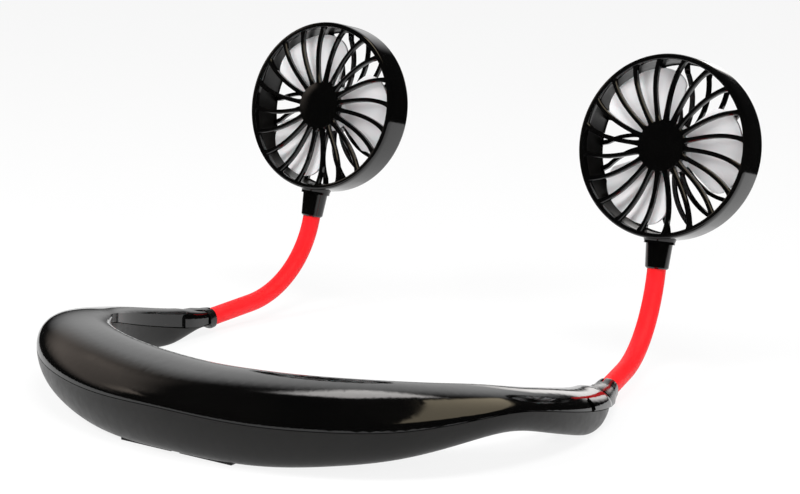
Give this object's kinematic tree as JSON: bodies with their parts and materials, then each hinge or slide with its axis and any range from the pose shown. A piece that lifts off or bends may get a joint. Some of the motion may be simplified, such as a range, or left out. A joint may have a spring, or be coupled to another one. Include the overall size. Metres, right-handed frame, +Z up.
{
  "type": "electric neck fan",
  "caption": "Hands-free neck fan: a horseshoe band for the shoulders, with a bendable red arm and a small round caged fan at each end.",
  "frame": {"origin": "on the table under the middle of the object's box", "axes": "+Z up, -Y to the back of the neck, where both fans face, +X to the wearer's right arm of the band in the model's view"},
  "size_m": [0.2538, 0.2468, 0.134],
  "materials": {
    "gloss_black": "gloss",
    "satin_black": "satin",
    "red_silicone": "satin",
    "foot_rubber": "matte",
    "impeller_white": "translucent white",
    "steel": "plated",
    "motor_can": "drawn steel can",
    "cell_wrap": "film wrapped cell, with the density of a real cell",
    "board_green": "solder mask",
    "light_pipe": "frosted"
  },
  "bodies": {
    "band": {"upper_shell": "gloss_black", "lower_shell": "satin_black", "foot_pads": "foot_rubber", "battery_cells": "cell_wrap", "circuit_board": "board_green", "power_switch": "satin_black", "charging_socket": "steel", "status_light": "light_pipe", "case_screws": "steel", "arm_collar_left": "gloss_black", "gooseneck_root_left": "steel", "arm_sleeve_left": "red_silicone", "arm_collar_right": "gloss_black", "gooseneck_root_right": "steel", "arm_sleeve_right": "red_silicone"},
    "power_button": {"power_button": "satin_black"},
    "arm_low_left": {"gooseneck_low_left": "steel"},
    "arm_mid_left": {"gooseneck_mid_left": "steel"},
    "arm_high_left": {"gooseneck_high_left": "steel"},
    "arm_top_left": {"gooseneck_top_left": "steel", "neck_left": "satin_black"},
    "head_left": {"fan_housing_left": "gloss_black", "front_grille_left": "gloss_black", "hub_cap_left": "gloss_black", "motor_left": "motor_can"},
    "impeller_left": {"impeller_left": "impeller_white", "motor_shaft_left": "steel"},
    "arm_low_right": {"gooseneck_low_right": "steel"},
    "arm_mid_right": {"gooseneck_mid_right": "steel"},
    "arm_high_right": {"gooseneck_high_right": "steel"},
    "arm_top_right": {"gooseneck_top_right": "steel", "neck_right": "satin_black"},
    "head_right": {"fan_housing_right": "gloss_black", "front_grille_right": "gloss_black", "hub_cap_right": "gloss_black", "motor_right": "motor_can"},
    "impeller_right": {"impeller_right": "impeller_white", "motor_shaft_right": "steel"}
  },
  "joints": [
    {"name": "button_press", "type": "slide", "parent": "band", "child": "power_button", "axis": [0.7715, -0.6363, 0], "range_m": [0, 0.0006], "stiffness_N_per_m": 1500},
    {"name": "arm_sway_left", "type": "hinge", "parent": "band", "child": "arm_low_left", "pos_m": [-0.09896, 0.03887, 0.00695], "axis": [0, 0, 1], "range_deg": [-20, 20], "deforming": ["arm_sleeve_left"]},
    {"name": "arm_bend_left", "type": "hinge", "parent": "arm_low_left", "child": "arm_mid_left", "pos_m": [-0.09434, 0.06738, 0.01105], "axis": [0.9871, -0.1599, 0], "range_deg": [-21, 18], "deforming": ["arm_sleeve_left"]},
    {"name": "arm_bend_mid_left", "type": "hinge", "parent": "arm_mid_left", "child": "arm_high_left", "pos_m": [-0.09186, 0.08271, 0.02012], "axis": [0.9871, -0.1599, 0], "range_deg": [-21, 18], "deforming": ["arm_sleeve_left"]},
    {"name": "arm_bend_high_left", "type": "hinge", "parent": "arm_high_left", "child": "arm_top_left", "pos_m": [-0.09014, 0.09332, 0.03454], "axis": [0.9871, -0.1599, 0], "range_deg": [-21, 18], "deforming": ["arm_sleeve_left"]},
    {"name": "head_swivel_left", "type": "hinge", "parent": "arm_top_left", "child": "head_left", "pos_m": [-0.08963, 0.09652, 0.04406], "axis": [0.0343, 0.212, 0.9767], "range_deg": [-170, 170]},
    {"name": "fan_spin_left", "type": "hinge", "parent": "head_left", "child": "impeller_left", "pos_m": [-0.08786, 0.10741, 0.09426], "axis": [0.0074, -0.9773, 0.2118], "continuous": true},
    {"name": "arm_sway_right", "type": "hinge", "parent": "band", "child": "arm_low_right", "pos_m": [0.09896, 0.03887, 0.00695], "axis": [0, 0, 1], "range_deg": [-20, 20], "deforming": ["arm_sleeve_right"]},
    {"name": "arm_bend_right", "type": "hinge", "parent": "arm_low_right", "child": "arm_mid_right", "pos_m": [0.09434, 0.06738, 0.01105], "axis": [0.9871, 0.1599, 0], "range_deg": [-21, 18], "deforming": ["arm_sleeve_right"]},
    {"name": "arm_bend_mid_right", "type": "hinge", "parent": "arm_mid_right", "child": "arm_high_right", "pos_m": [0.09186, 0.08271, 0.02012], "axis": [0.9871, 0.1599, 0], "range_deg": [-21, 18], "deforming": ["arm_sleeve_right"]},
    {"name": "arm_bend_high_right", "type": "hinge", "parent": "arm_high_right", "child": "arm_top_right", "pos_m": [0.09014, 0.09332, 0.03454], "axis": [0.9871, 0.1599, 0], "range_deg": [-21, 18], "deforming": ["arm_sleeve_right"]},
    {"name": "head_swivel_right", "type": "hinge", "parent": "arm_top_right", "child": "head_right", "pos_m": [0.08963, 0.09652, 0.04406], "axis": [-0.0343, 0.212, 0.9767], "range_deg": [-170, 170]},
    {"name": "fan_spin_right", "type": "hinge", "parent": "head_right", "child": "impeller_right", "pos_m": [0.08786, 0.10741, 0.09426], "axis": [-0.0074, -0.9773, 0.2118], "continuous": true}
  ],
  "couplings": [
    {"joint": "arm_bend_mid_left", "follows": "arm_bend_left", "ratio": 1},
    {"joint": "arm_bend_high_left", "follows": "arm_bend_left", "ratio": 1},
    {"joint": "arm_bend_mid_right", "follows": "arm_bend_right", "ratio": 1},
    {"joint": "arm_bend_high_right", "follows": "arm_bend_right", "ratio": 1}
  ]
}
